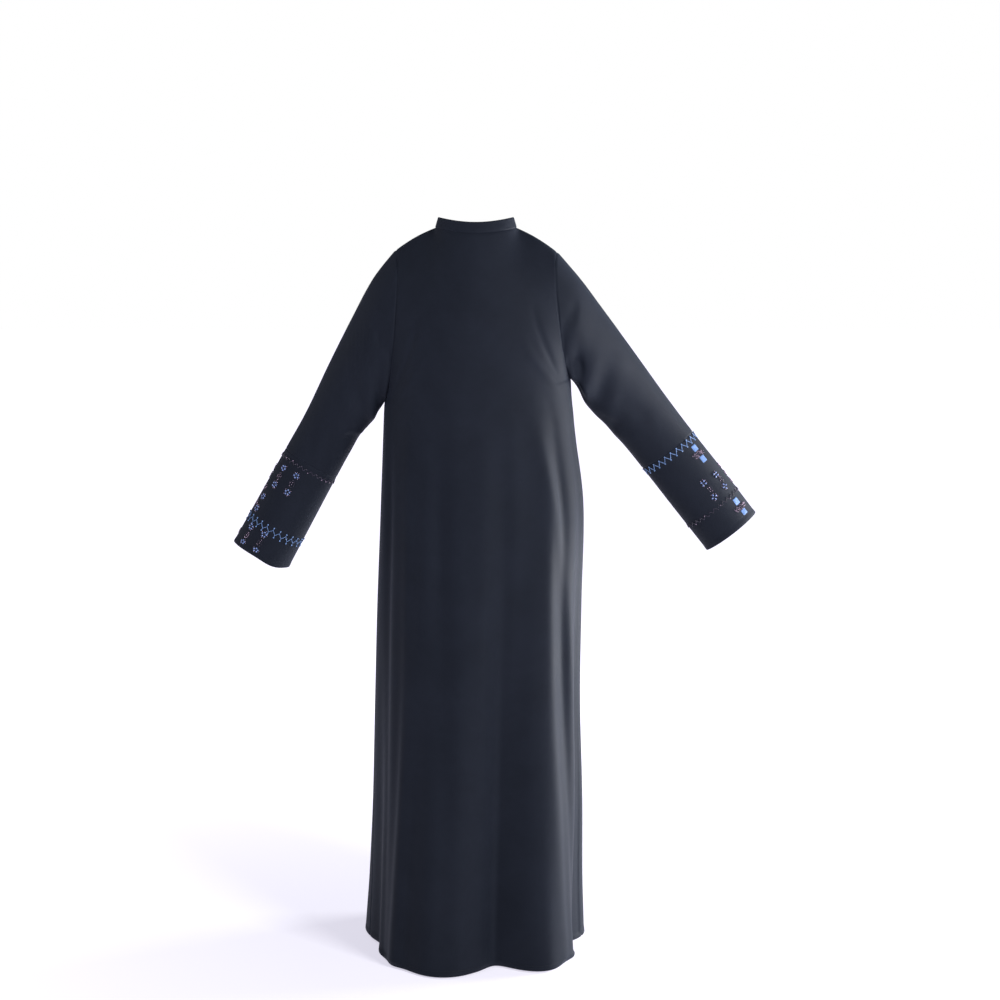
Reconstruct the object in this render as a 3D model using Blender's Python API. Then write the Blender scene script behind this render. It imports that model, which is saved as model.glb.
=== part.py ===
"""A woman's abaya: a plain, loose, full-length robe in black crepe, as it hangs when worn
with both arms held out and down.

Frame: metres, +Z up, the wearer faces +Y and the wearer's right side is +X. The origin
is the middle of the neck opening at the height of the shoulder seams.

Every piece is a wall of cloth. Its outer face is a grid whose points come from the
sections below, and its inner face is the same grid moved in by the cloth's thickness
along the garment's own normal, so that two pieces meet edge to edge at a seam.
"""

import math

import bmesh
import bpy
from mathutils import Vector

# Cloth and seams
CLOTH = 0.0015
SEAM_GAP = 0.00034
CREPE = (0.014, 0.016, 0.022, 1.0)
CREPE_ROUGHNESS = 0.85

# Neck: half width and half depths of the opening, and its heights
NECK_HALF_WIDTH = 0.080
NECK_BACK = 0.062
NECK_FRONT = 0.072
NECK_SIDE_Z = 0.040
NECK_BACK_DROP = 0.010
NECK_FRONT_DROP = 0.074
NECKBAND_HEIGHT = 0.020
NECKBAND_LEAN = 0.30
NECKBAND_OPEN = 0.003

# Grid: cloth squares across and down each piece
BACK_COLUMNS = 36
FRONT_COLUMNS = 36
ARMHOLE_ROWS = 10
SKIRT_ROWS = 17
SLEEVE_ROWS = 13
CUFF_ROWS = 5
NECKBAND_COLUMNS = 44

# Front opening: the right front laps over the left one, and each of them runs so many
# columns past the middle
LAP_COLUMNS = 1
LAP_HALF = 2 * LAP_COLUMNS / FRONT_COLUMNS
LAP_LIFT = CLOTH + 0.0007
LAP_FADE = 0.13

# Hem of the body, and how far its sides rise above its back and front
HEM_Z = -1.402
HEM_SIDE_RISE = 0.004

# The yoke: a plain arc over the shoulders, how fast the neckline's shape fades into it
# going down, how much of it the armholes cut off at their widest, how it eases into the
# body, and how far the cloth swells out over the shoulder blades and the chest
ARC_BACK = 0.050
ARC_FRONT = 0.050
ARC_Z = 0.030
NECK_FADE = 4.0
ARMHOLE_CUT = 0.42
YOKE_EASE = 1.7
YOKE_BACK_SWELL = 0.012
YOKE_FRONT_SWELL = 0.004
SECTION_FULLNESS = 0.93

# Sections of the body below the armholes: half widths and depths at each height
SECTIONS = (
    # z, left, right, back, front
    (-0.24, 0.180, 0.187, 0.112, 0.128),
    (-0.32, 0.183, 0.192, 0.118, 0.132),
    (-0.50, 0.190, 0.211, 0.133, 0.136),
    (-0.70, 0.198, 0.206, 0.152, 0.144),
    (-0.90, 0.203, 0.202, 0.168, 0.152),
    (-1.11, 0.207, 0.206, 0.183, 0.163),
    (-1.28, 0.213, 0.206, 0.196, 0.176),
    (-1.41, 0.219, 0.209, 0.206, 0.188),
)

# Folds of the body: degrees round from the middle of the back, positive to the right,
# where each starts and at the hem, how far it stands out or in at the hem, its
# half width in degrees, the height where it starts, and how it grows to the hem
FOLDS = (
    # start_deg, hem_deg, out, half_deg, start_z, growth
    (-2.0, -19.0, 0.026, 19.0, -0.30, 1.0),
    (18.0, 11.0, -0.046, 12.5, -0.36, 1.1),
    (33.0, 38.0, 0.026, 14.0, -0.30, 0.9),
    (-27.0, -44.0, 0.010, 7.0, -0.40, 0.8),
    (62.0, 60.0, 0.012, 9.0, -0.42, 1.0),
    (78.0, 77.0, -0.022, 9.0, -0.50, 1.3),
    (92.0, 98.0, 0.014, 11.0, -0.40, 0.8),
    (-66.0, -77.0, -0.018, 10.0, -0.40, 1.2),
    (-92.0, -106.0, 0.020, 13.0, -0.50, 2.2),
    (-118.0, -128.0, -0.024, 12.0, -0.34, 1.0),
    (118.0, 122.0, -0.022, 11.0, -0.34, 1.0),
    (136.0, 143.0, 0.022, 13.0, -0.34, 1.0),
    (-140.0, -148.0, 0.024, 13.0, -0.34, 0.9),
    (160.0, 164.0, -0.016, 9.0, -0.40, 1.1),
    (-162.0, -167.0, -0.014, 9.0, -0.40, 1.1),
)

# Sleeve sections from the armhole to the cuff's hem: the top and the bottom point of the
# loop seen from behind, the half depth, the middle's y, and how far the loop bows in
LEFT_LOOPS = (
    # top_x, top_z, low_x, low_z, depth, y, bow
    (-0.158, -0.004, -0.181, -0.300, 0.060, 0.000, 0.012),
    (-0.203, -0.060, -0.192, -0.318, 0.064, 0.010, 0.008),
    (-0.246, -0.137, -0.205, -0.337, 0.062, 0.022, 0.003),
    (-0.292, -0.225, -0.223, -0.362, 0.056, 0.036, 0.000),
    (-0.340, -0.322, -0.251, -0.402, 0.051, 0.052, 0.000),
    (-0.385, -0.400, -0.284, -0.460, 0.049, 0.068, 0.000),
    (-0.444, -0.502, -0.336, -0.556, 0.050, 0.084, 0.000),
    (-0.498, -0.595, -0.386, -0.649, 0.052, 0.100, 0.000),
)
RIGHT_LOOPS = (
    # top_x, top_z, low_x, low_z, depth, y, bow
    (0.160, -0.008, 0.187, -0.255, 0.060, 0.000, 0.012),
    (0.207, -0.062, 0.199, -0.272, 0.064, 0.014, 0.008),
    (0.246, -0.113, 0.214, -0.299, 0.062, 0.034, 0.003),
    (0.292, -0.174, 0.236, -0.330, 0.057, 0.056, 0.000),
    (0.338, -0.236, 0.264, -0.362, 0.052, 0.078, 0.000),
    (0.383, -0.297, 0.296, -0.394, 0.049, 0.100, 0.000),
    (0.441, -0.372, 0.339, -0.447, 0.049, 0.126, 0.000),
    (0.512, -0.460, 0.411, -0.539, 0.050, 0.150, 0.000),
    (0.579, -0.546, 0.479, -0.625, 0.052, 0.172, 0.000),
)
LEFT_SEAM_LOOP = 5
RIGHT_SEAM_LOOP = 6

# Soft creases of the sleeves: where along the sleeve, where round it in degrees from the
# top, how far out, and the half widths along and round
SLEEVE_CREASES = (
    # along, round_deg, out, half_along, half_deg
    (0.16, 128.0, -0.010, 0.07, 30.0),
    (0.26, 150.0, 0.006, 0.06, 26.0),
    (0.36, 118.0, -0.006, 0.05, 34.0),
    (0.18, 232.0, -0.010, 0.07, 30.0),
    (0.30, 214.0, 0.006, 0.06, 26.0),
    (0.46, 205.0, -0.005, 0.05, 36.0),
    (0.52, 150.0, -0.004, 0.04, 30.0),
)


def clear_scene():
    """Remove whatever objects the file holds."""
    for obj in list(bpy.data.objects):
        bpy.data.objects.remove(obj, do_unlink=True)


def crepe(name, lift=0.0):
    """A matt black cloth material for one piece."""
    material = bpy.data.materials.new(name + "_crepe")
    material.use_nodes = True
    shader = material.node_tree.nodes["Principled BSDF"]
    shader.inputs["Base Color"].default_value = [c + lift for c in CREPE[:3]] + [1.0]
    shader.inputs["Roughness"].default_value = CREPE_ROUGHNESS
    shader.inputs["Metallic"].default_value = 0.0
    return material


def smooth(t):
    """Ease from 0 to 1."""
    t = min(max(t, 0.0), 1.0)
    return t * t * (3 - 2 * t)


def catmull(a, b, c, d, t):
    """A smooth curve's value between b and c."""
    return b + 0.5 * t * (c - a + t * (2 * a - 5 * b + 4 * c - d + t * (3 * (b - c) + d - a)))


def along_rows(rows, place):
    """A table's row at a fractional place between its rows."""
    i = min(int(place), len(rows) - 2)
    near = [rows[min(max(j, 0), len(rows) - 1)] for j in (i - 1, i, i + 1, i + 2)]
    return [catmull(*values, place - i) for values in zip(*near)]


def body_section(z):
    """The body's half widths and depths at a height."""
    heights = [row[0] for row in SECTIONS]
    z = min(max(z, heights[-1]), heights[0])
    i = next(k for k in range(len(SECTIONS) - 1) if z >= heights[k + 1])
    share = (heights[i] - z) / (heights[i] - heights[i + 1])
    return along_rows(SECTIONS, i + share)[1:]


def fold_depth(degrees, z):
    """How far the folds move the cloth out at an angle and a height."""
    total = 0.0
    for start_deg, hem_deg, out, half_deg, start_z, growth in FOLDS:
        down = (start_z - z) / (start_z - HEM_Z)
        if down <= 0:
            continue
        centre = start_deg + (hem_deg - start_deg) * smooth(down)
        off = (degrees - centre + 180) % 360 - 180
        total += out * down**growth * math.exp(-((off / half_deg) ** 2))
    return total


def body_point(degrees, z):
    """A point of the body's cloth: 0 degrees is the middle of the back, 90 the right."""
    left, right, back, front = body_section(z)
    turn = math.radians(degrees)
    across, deep = math.sin(turn), -math.cos(turn)
    width = right if across > 0 else left
    depth = back if deep < 0 else front
    x = math.copysign(abs(across) ** SECTION_FULLNESS, across) * width
    y = math.copysign(abs(deep) ** SECTION_FULLNESS, deep) * depth
    out = fold_depth(degrees, z)
    return Vector((x + out * across, y + out * deep, z))


def degrees_of(u, front):
    """The angle round the body of a place across a panel, -1 at the left, 1 at the right."""
    return 180 - 90 * u if front else 90 * u


def armpit_z(u):
    """The height of the row that runs from armpit to armpit."""
    left, right = LEFT_LOOPS[0][3], RIGHT_LOOPS[0][3]
    return left + (right - left) * (u + 1) / 2


def hem_height(degrees):
    """The hem's height, a little higher at the sides."""
    return HEM_Z + HEM_SIDE_RISE * math.sin(math.radians(degrees)) ** 2


def top_edge(u, front):
    """The neckline in the middle half of a panel, and a shoulder seam at each side of it."""
    if abs(u) <= 0.5:
        turn = math.radians(180 * u)
        drop = NECK_FRONT_DROP if front else NECK_BACK_DROP
        depth = NECK_FRONT if front else -NECK_BACK
        level = math.cos(turn) ** 2
        return Vector((
            NECK_HALF_WIDTH * math.sin(turn),
            depth * math.cos(turn),
            NECK_SIDE_Z - drop * level,
        ))
    share = (abs(u) - 0.5) / 0.5
    loop = RIGHT_LOOPS[0] if u > 0 else LEFT_LOOPS[0]
    neck = Vector((math.copysign(NECK_HALF_WIDTH, u), 0.0, NECK_SIDE_Z))
    shoulder = Vector((loop[0], 0.0, loop[1]))
    seam = neck.lerp(shoulder, share)
    seam.z += 0.004 * math.sin(math.pi * share)
    return seam


def loop_point(loop, turn, side):
    """A point of a sleeve's loop: turn 0 is its top, 90 its back, 180 its bottom."""
    top_x, top_z, low_x, low_z, depth, y, bow = loop
    level = (1 - math.cos(turn)) / 2
    x = top_x + (low_x - top_x) * level - side * bow * abs(math.sin(turn))
    z = top_z + (low_z - top_z) * level
    return Vector((x, y - depth * math.sin(turn), z))


def armhole_point(side, down, front):
    """A point of the armhole seam from the shoulder, 0, to the armpit, 1."""
    loop = RIGHT_LOOPS[0] if side > 0 else LEFT_LOOPS[0]
    turn = math.pi * down
    return loop_point(loop, 2 * math.pi - turn if front else turn, side)


def shoulder_arc(u, front):
    """A plain arc over the shoulders, which the neckline's shape fades into."""
    shoulder = top_edge(1 if u > 0 else -1, front)
    turn = math.pi * u / 2
    depth = ARC_FRONT if front else -ARC_BACK
    rise = (ARC_Z - shoulder.z) * math.cos(turn) ** 2
    return Vector((shoulder.x * abs(math.sin(turn)), depth * math.cos(turn), shoulder.z + rise))


def level_of(down):
    """How far down the armhole's height a row lies, the rows closer at its ends."""
    return (1 - math.cos(math.pi * down)) / 2


def upper_bulge(level):
    """A bulge of height 1 a third of the way down, flat where it ends at the armpit."""
    return level * (1 - level) ** 2 / (4 / 27)


def yoke_section(u, down, front):
    """A point of the yoke before its ends are drawn to the armhole seam."""
    level = level_of(down)
    cut = u * (1 - ARMHOLE_CUT * math.sin(math.pi * down))
    arc = shoulder_arc(cut, front)
    body = body_point(degrees_of(cut, front), armpit_z(cut))
    point = arc.lerp(body, level)
    point.y = body.y + (arc.y - body.y) * (1 - level) ** YOKE_EASE
    swell = YOKE_FRONT_SWELL if front else -YOKE_BACK_SWELL
    point.y += swell * upper_bulge(level) * math.cos(math.pi * cut / 2)
    return point + (top_edge(u, front) - arc) * (1 - level) ** NECK_FADE


def yoke_point(u, down, front):
    """A point between the top edge and the row from armpit to armpit."""
    side = 1 if u > 0 else -1
    point = yoke_section(u, down, front)
    end = yoke_section(side, down, front)
    edge = armhole_point(side, down, front)
    point.x *= edge.x / end.x
    point.y += (edge.y - end.y) * abs(u) ** 3
    point.z += (edge.z - end.z) * abs(u) ** 3
    return point


def panel_point(u, row, front):
    """A point of the front or the back at a row of the grid."""
    if row <= ARMHOLE_ROWS:
        return yoke_point(u, row / ARMHOLE_ROWS, front)
    share = (row - ARMHOLE_ROWS) / SKIRT_ROWS
    degrees = degrees_of(u, front)
    top = armpit_z(u)
    return body_point(degrees, top + (hem_height(degrees) - top) * share)


def crease_depth(along, degrees):
    """How far a sleeve's creases move its cloth out."""
    total = 0.0
    for centre, round_deg, out, half_along, half_deg in SLEEVE_CREASES:
        off = (degrees - round_deg + 180) % 360 - 180
        total += out * math.exp(-(((along - centre) / half_along) ** 2) - (off / half_deg) ** 2)
    return total


def sleeve_rings(loops, side, first, last, rows):
    """Rings of points from one loop of a sleeve's table to another."""
    columns = 2 * ARMHOLE_ROWS
    rings = []
    for i in range(rows + 1):
        place = first + (last - first) * i / rows
        loop = along_rows(loops, place)
        centre = Vector(((loop[0] + loop[2]) / 2, loop[5], (loop[1] + loop[3]) / 2))
        ring = []
        for j in range(columns):
            turn = 2 * math.pi * j / columns
            point = loop_point(loop, turn, side)
            away = (point - centre).normalized()
            ring.append(point + away * crease_depth(place / (len(loops) - 1), math.degrees(turn)))
        rings.append(ring + [ring[0]])
    if first == 0:
        edge = [armhole_point(side, j / ARMHOLE_ROWS, False) for j in range(ARMHOLE_ROWS + 1)]
        far = [armhole_point(side, j / ARMHOLE_ROWS, True) for j in range(ARMHOLE_ROWS)]
        rings[0] = edge + far[:0:-1] + [edge[0]]
    return rings


def key_of(point):
    """The same key for two pieces' points on one seam."""
    return tuple(round(c, 5) for c in point)


def face_normals(grids):
    """The summed face normals at the points of grids that run on into each other."""
    total = {}
    for grid, flip in grids:
        for top, low in zip(grid, grid[1:]):
            for a, b, c, d in zip(top, top[1:], low[1:], low):
                normal = (c - a).cross(b - d) * flip
                for corner in (a, b, c, d):
                    total.setdefault(key_of(corner), Vector((0, 0, 0)))
                    total[key_of(corner)] += normal
    return {key: normal.normalized() for key, normal in total.items()}


def grid_normals(groups):
    """Each grid's normals. Where the body meets a sleeve, they share the middle one."""
    total = {}
    for grids in groups:
        for key, normal in face_normals(grids).items():
            total[key] = total.get(key, Vector((0, 0, 0))) + normal
    return [
        [[total[key_of(point)].normalized() for point in row] for row in grid]
        for grids in groups
        for grid, _ in grids
    ]


def drawn_line(line, inside, normals):
    """A seam's line of points, moved away from the seam, square to it and to the normal."""
    last = len(line) - 1
    ring = (line[0] - line[last]).length < 1e-7
    moved = []
    for i, point in enumerate(line):
        before = last - 1 if ring and i == 0 else max(i - 1, 0)
        after = 1 if ring and i == last else min(i + 1, last)
        run = (line[after] - line[before]).normalized()
        step = inside[i] - point
        step -= run * step.dot(run)
        step -= normals[i] * step.dot(normals[i])
        moved.append(point + step.normalized() * (SEAM_GAP / 2))
    return moved


def drawn_in(grid, normals, edges):
    """The grid with the rows and columns on its seams drawn in by half a seam's gap."""
    drawn = [list(row) for row in grid]
    for edge, column, inside in (("left", 0, 1), ("right", -1, -2)):
        if edge in edges:
            line, near, facing = (
                [row[k] for row in rows]
                for rows, k in ((grid, column), (grid, inside), (normals, column))
            )
            for row, point in zip(drawn, drawn_line(line, near, facing)):
                row[column] = point
            below = line[ARMHOLE_ROWS + 1] - line[ARMHOLE_ROWS]
            drawn[ARMHOLE_ROWS][column] += below.normalized() * (SEAM_GAP / 2)
    for edge, row, inside in (("top", 0, 1), ("bottom", -1, -2)):
        if edge in edges:
            drawn[row] = drawn_line(drawn[row], grid[inside], normals[row])
    return drawn


def cloth_wall(name, outer, inner, closed_round=False, lift=0.0):
    """One closed wall of cloth between an outer and an inner grid of points."""
    rows, columns = len(outer), len(outer[0])
    outside = [point for row in outer for point in row]
    inside = [point for row in inner for point in row]
    shape = bmesh.new()
    place = shape.verts.layers.int.new("place")
    made = bmesh.ops.create_grid(shape, x_segments=columns - 1, y_segments=rows - 1, size=1)
    for i, vert in enumerate(made["verts"]):
        vert[place] = i
        vert.co = outside[i]
    made = bmesh.ops.extrude_face_region(shape, geom=shape.faces[:])
    for item in made["geom"]:
        if isinstance(item, bmesh.types.BMVert):
            item.co = inside[item[place]]
    if closed_round:
        ends = [f for f in shape.faces if {v[place] % columns for v in f.verts} <= {0}]
        ends += [f for f in shape.faces if {v[place] % columns for v in f.verts} <= {columns - 1}]
        bmesh.ops.delete(shape, geom=ends, context="FACES_ONLY")
        bmesh.ops.remove_doubles(shape, verts=shape.verts[:], dist=1e-6)
    bmesh.ops.recalc_face_normals(shape, faces=shape.faces[:])
    if shape.calc_volume(signed=True) < 0:
        bmesh.ops.reverse_faces(shape, faces=shape.faces[:])
    mesh = bpy.data.meshes.new(name)
    shape.to_mesh(mesh)
    shape.free()
    mesh.shade_smooth()
    mesh.set_sharp_from_angle(angle=math.radians(50))
    mesh.materials.append(crepe(name, lift))
    obj = bpy.data.objects.new(name, mesh)
    bpy.context.scene.collection.objects.link(obj)
    return obj


def wall_from(name, grid, normals, edges, closed_round=False, lift=0.0):
    """A piece of cloth: its outer grid, moved in by its thickness, edges drawn in."""
    inner = [
        [point - normal * CLOTH for point, normal in zip(*rows)] for rows in zip(grid, normals)
    ]
    outer, inner = (drawn_in(face, normals, edges) for face in (grid, inner))
    return cloth_wall(name, outer, inner, closed_round, lift)


def panel_grid(front):
    """The whole front or back as a grid, from left to right and from top to hem."""
    columns = FRONT_COLUMNS if front else BACK_COLUMNS
    rows = ARMHOLE_ROWS + SKIRT_ROWS
    places = [-1 + 2 * i / columns for i in range(columns + 1)]
    return [[panel_point(u, row, front) for u in places] for row in range(rows + 1)]


def front_half(grid, normals, side):
    """One front's grid and normals, cut at the lap, the right front lifted there."""
    middle = FRONT_COLUMNS // 2
    if side > 0:
        kept = range(middle - LAP_COLUMNS, FRONT_COLUMNS + 1)
    else:
        kept = range(middle + LAP_COLUMNS + 1)
    facing = [[row[i] for i in kept] for row in normals]
    points = [[row[i] for i in kept] for row in grid]
    if side > 0:
        lifts = [lap_lift((i - middle) / middle) for i in kept]
        points = [
            [p + n * lift for p, n, lift in zip(line, turned, lifts)]
            for line, turned in zip(points, facing)
        ]
    return points, facing


def lap_lift(u):
    """How far the right front stands out where it laps over the left one."""
    return LAP_LIFT * (1 - smooth((u - LAP_HALF) / LAP_FADE))


def neckband():
    """A low band that stands on the neckline and meets at the middle of the front."""
    base = []
    for i in range(NECKBAND_COLUMNS + 1):
        turn = (2 * i / NECKBAND_COLUMNS - 1) * (1 - NECKBAND_OPEN)
        at_back = abs(turn) <= 0.5
        u = turn if at_back else math.copysign(1 - abs(turn), turn)
        over_lap = 0.0 if at_back else lap_lift(u if u > 0 else -u - LAP_HALF)
        base.append(top_edge(u, not at_back) + Vector((0, 0, SEAM_GAP + over_lap)))
    outer, inner = [], []
    for level in (1.0, 0.5, 0.0):
        lifted = []
        for point in base:
            away = Vector((point.x, point.y, 0)).normalized()
            rise = Vector((0, 0, 1)) - away * NECKBAND_LEAN
            lifted.append((point + rise * level * NECKBAND_HEIGHT, away))
        outer.append([point for point, _ in lifted])
        inner.append([point - away * CLOTH for point, away in lifted])
    return cloth_wall("neckband", outer, inner, lift=0.004)


def build():
    """Make every piece of the robe."""
    clear_scene()
    back, front = panel_grid(False), panel_grid(True)
    sleeves = {}
    for name, loops, side, seam in (
        ("left", LEFT_LOOPS, -1, LEFT_SEAM_LOOP),
        ("right", RIGHT_LOOPS, 1, RIGHT_SEAM_LOOP),
    ):
        upper = sleeve_rings(loops, side, 0, seam, SLEEVE_ROWS)
        cuff = sleeve_rings(loops, side, seam, len(loops) - 1, CUFF_ROWS)
        sleeves[name] = (upper, cuff, side)
    groups = [[(back, 1), (front, -1)]]
    groups += [[(upper, -side), (cuff, -side)] for upper, cuff, side in sleeves.values()]
    back_normals, front_normals, *sleeve_normals = grid_normals(groups)

    wall_from("back", back, back_normals, {"top", "left", "right"})
    for name, side, seam in (("front_left", -1, "left"), ("front_right", 1, "right")):
        points, normals = front_half(front, front_normals, side)
        wall_from(name, points, normals, {"top", seam}, lift=0.002)
    for name, (upper, cuff, side) in sleeves.items():
        upper_normals, cuff_normals = sleeve_normals.pop(0), sleeve_normals.pop(0)
        wall_from("sleeve_" + name, upper, upper_normals, {"top", "bottom"}, True, 0.001)
        wall_from("cuff_" + name, cuff, cuff_normals, {"top"}, True, 0.003)
    neckband()


build()
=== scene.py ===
import collections
import functools
import math
import random

import bmesh
import bpy
from mathutils import Matrix, Vector


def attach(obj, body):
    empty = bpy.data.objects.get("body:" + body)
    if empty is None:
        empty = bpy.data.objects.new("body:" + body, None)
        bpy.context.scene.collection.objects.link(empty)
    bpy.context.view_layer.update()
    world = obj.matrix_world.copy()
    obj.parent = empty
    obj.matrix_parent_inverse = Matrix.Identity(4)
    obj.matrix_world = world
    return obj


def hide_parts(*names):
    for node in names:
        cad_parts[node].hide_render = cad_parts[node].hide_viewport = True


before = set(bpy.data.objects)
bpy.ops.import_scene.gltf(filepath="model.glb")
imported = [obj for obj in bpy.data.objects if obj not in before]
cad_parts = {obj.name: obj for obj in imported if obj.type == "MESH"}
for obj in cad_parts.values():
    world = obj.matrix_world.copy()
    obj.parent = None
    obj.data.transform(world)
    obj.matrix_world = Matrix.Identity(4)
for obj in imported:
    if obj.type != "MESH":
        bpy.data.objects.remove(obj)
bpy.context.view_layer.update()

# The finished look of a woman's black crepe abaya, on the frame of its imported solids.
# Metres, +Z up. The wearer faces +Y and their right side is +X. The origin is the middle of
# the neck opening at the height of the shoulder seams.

# Cloth: the thickness of one layer, and the shapes of its seams and hems
CLOTH = 0.0006
SEAM_SINK = 0.0011
SEAM_REACH = 0.0045
FLAT_SEAM_SINK = 0.0008
FLAT_SEAM_REACH = 0.0022
HEM_DEPTH = 0.013
HEM_STEP = 0.0005
HEM_STITCH = 0.0105
STITCH_SINK = 0.0004
STITCH_REACH = 0.0012
HEM_FOLD_SINK = 0.0008
HEM_FOLD_REACH = 0.0016
CREASE_FREE_EDGE = 0.012
EDGE_LINES = (0.0007, 0.0018, 0.0032, 0.005)
HEM_LINES = (0.0007, 0.0025, 0.006, 0.009, 0.0105, 0.012, 0.0135, 0.016)

# Neck: half width and half depths of the opening, and its heights
NECK_HALF_WIDTH = 0.080
NECK_BACK = 0.062
NECK_FRONT = 0.072
NECK_SIDE_Z = 0.040
NECK_BACK_DROP = 0.010
NECK_FRONT_DROP = 0.074
NECKBAND_HEIGHT = 0.020
NECKBAND_LEAN = 0.30
NECKBAND_OPEN = 0.003
NECKBAND_CLOTH = 0.0013
NECKBAND_ROUNDING = 0.0006
NECKBAND_LEVELS = (1.0, 0.97, 0.90, 0.80, 0.55, 0.30, 0.16, 0.06, 0.0, -0.08)

# Front opening: the right front laps over the left one
LAP_HALF = 1 / 18
LAP_LIFT = 0.0022
LAP_FADE = 0.13

# Grid: cloth squares across and down each piece, and the pieces' rough lengths that its
# extra lines near the edges are worked out from
PANEL_COLUMNS = 200
ARMHOLE_ROWS = 40
SKIRT_ROWS = 140
SLEEVE_ROWS = 110
CUFF_ROWS = 56
NECKBAND_COLUMNS = 180
BACK_WIDTH = 0.62
FRONT_WIDTH = 0.33
SKIRT_LENGTH = 1.13
UPPER_SLEEVE_LENGTH = 0.46

# Hem of the body, and how far its sides rise above its back and front
HEM_Z = -1.402
HEM_SIDE_RISE = 0.004

# The yoke: a plain arc over the shoulders, how fast the neckline's shape fades into it,
# how much of it the armholes cut off, how far it swells out at the back and the front, how
# far the shoulder seams bow up, and how full the body's sections are
ARC_BACK = 0.050
ARC_FRONT = 0.050
ARC_Z = 0.030
NECK_FADE = 4.0
ARMHOLE_CUT = 0.42
YOKE_EASE = 1.7
YOKE_BACK_SWELL = 0.012
YOKE_FRONT_SWELL = 0.004
SHOULDER_BOW = 0.004
SECTION_FULLNESS = 0.93

# How the neckline's shape is softened further down the yoke, and the rows above and below
# the armpits between which the cloth runs on in one smooth curve
NECK_SOFTEN = 0.62
NECK_TAPS = 5
NECK_SHARES = [math.exp(-2 * (k / NECK_TAPS) ** 2) for k in range(-NECK_TAPS, NECK_TAPS + 1)]
EASED_FROM = 0.62
EASED_TO = 10

# Sections of the body below the armholes: half widths and depths at each height
SECTIONS = (
    # z, left, right, back, front
    (-0.24, 0.18, 0.187, 0.112, 0.128),
    (-0.32, 0.183, 0.192, 0.118, 0.132),
    (-0.5, 0.19, 0.211, 0.133, 0.136),
    (-0.7, 0.198, 0.206, 0.152, 0.144),
    (-0.9, 0.203, 0.202, 0.168, 0.152),
    (-1.11, 0.207, 0.206, 0.183, 0.163),
    (-1.28, 0.213, 0.206, 0.196, 0.176),
    (-1.41, 0.219, 0.209, 0.206, 0.188),
)

# Folds of the body: degrees round from the middle of the back, positive to the right,
# where each starts and at the hem, how far it stands out or in at the hem, its
# half width in degrees, the height where it starts, and how it grows to the hem
FOLDS = (
    # start_deg, hem_deg, out, half_deg, start_z, growth
    (-2, -19, 0.026, 19, -0.3, 1),
    (18, 11, -0.046, 12.5, -0.36, 1.1),
    (33, 38, 0.026, 14, -0.3, 0.9),
    (-27, -44, 0.01, 7, -0.4, 0.8),
    (62, 60, 0.012, 9, -0.42, 1),
    (78, 77, -0.022, 9, -0.5, 1.3),
    (92, 98, 0.014, 11, -0.4, 0.8),
    (-66, -77, -0.018, 10, -0.4, 1.2),
    (-92, -106, 0.02, 13, -0.5, 2.2),
    (-118, -128, -0.024, 12, -0.34, 1),
    (118, 122, -0.022, 11, -0.34, 1),
    (136, 143, 0.022, 13, -0.34, 1),
    (-140, -148, 0.024, 13, -0.34, 0.9),
    (160, 164, -0.016, 9, -0.4, 1.1),
    (-162, -167, -0.014, 9, -0.4, 1.1),
)

# Sleeve sections from the armhole to the cuff's hem: the top and the bottom point of the
# loop seen from behind, the half depth, the middle's y, and how far the loop bows in
LEFT_LOOPS = (
    # top_x, top_z, low_x, low_z, depth, y, bow
    (-0.158, -0.004, -0.181, -0.3, 0.06, 0, 0.012),
    (-0.203, -0.06, -0.192, -0.318, 0.064, 0.01, 0.008),
    (-0.246, -0.137, -0.205, -0.337, 0.062, 0.022, 0.003),
    (-0.292, -0.225, -0.223, -0.362, 0.056, 0.036, 0),
    (-0.34, -0.322, -0.251, -0.402, 0.051, 0.052, 0),
    (-0.385, -0.4, -0.284, -0.46, 0.049, 0.068, 0),
    (-0.444, -0.502, -0.336, -0.556, 0.05, 0.084, 0),
    (-0.498, -0.595, -0.386, -0.649, 0.052, 0.1, 0),
)
RIGHT_LOOPS = (
    # top_x, top_z, low_x, low_z, depth, y, bow
    (0.16, -0.008, 0.187, -0.255, 0.06, 0, 0.012),
    (0.207, -0.062, 0.199, -0.272, 0.064, 0.014, 0.008),
    (0.246, -0.113, 0.214, -0.299, 0.062, 0.034, 0.003),
    (0.292, -0.174, 0.236, -0.33, 0.057, 0.056, 0),
    (0.338, -0.236, 0.264, -0.362, 0.052, 0.078, 0),
    (0.383, -0.297, 0.296, -0.394, 0.049, 0.1, 0),
    (0.441, -0.372, 0.339, -0.447, 0.049, 0.126, 0),
    (0.512, -0.46, 0.411, -0.539, 0.05, 0.15, 0),
    (0.579, -0.546, 0.479, -0.625, 0.052, 0.172, 0),
)
LEFT, RIGHT = -1, 1
LOOPS = {LEFT: LEFT_LOOPS, RIGHT: RIGHT_LOOPS}
SEAM_LOOP = {LEFT: 5, RIGHT: 6}
CUFF_LENGTH = 0.227
CUFF_EDGE = 0.35

# How far a cuff's hem is drawn up for each metre of its depth, and where it dips: the angle
# round it, how far, and the half width in degrees
HEM_DRAWN_UP = {LEFT: 0, RIGHT: 0.06}
HEM_DIP = {LEFT: (122, 0.0065, 30), RIGHT: (0, 0, 30)}

# Soft creases of the sleeves: where along the sleeve, where round it in degrees from the
# top, how far out, and the half widths along and round
SLEEVE_CREASES = (
    # along, round_deg, out, half_along, half_deg
    (0.16, 128, -0.01, 0.07, 30),
    (0.26, 150, 0.006, 0.06, 26),
    (0.36, 118, -0.006, 0.05, 34),
    (0.18, 232, -0.01, 0.07, 30),
    (0.3, 214, 0.006, 0.06, 26),
    (0.46, 205, -0.005, 0.05, 36),
    (0.52, 150, -0.004, 0.04, 30),
)

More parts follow.
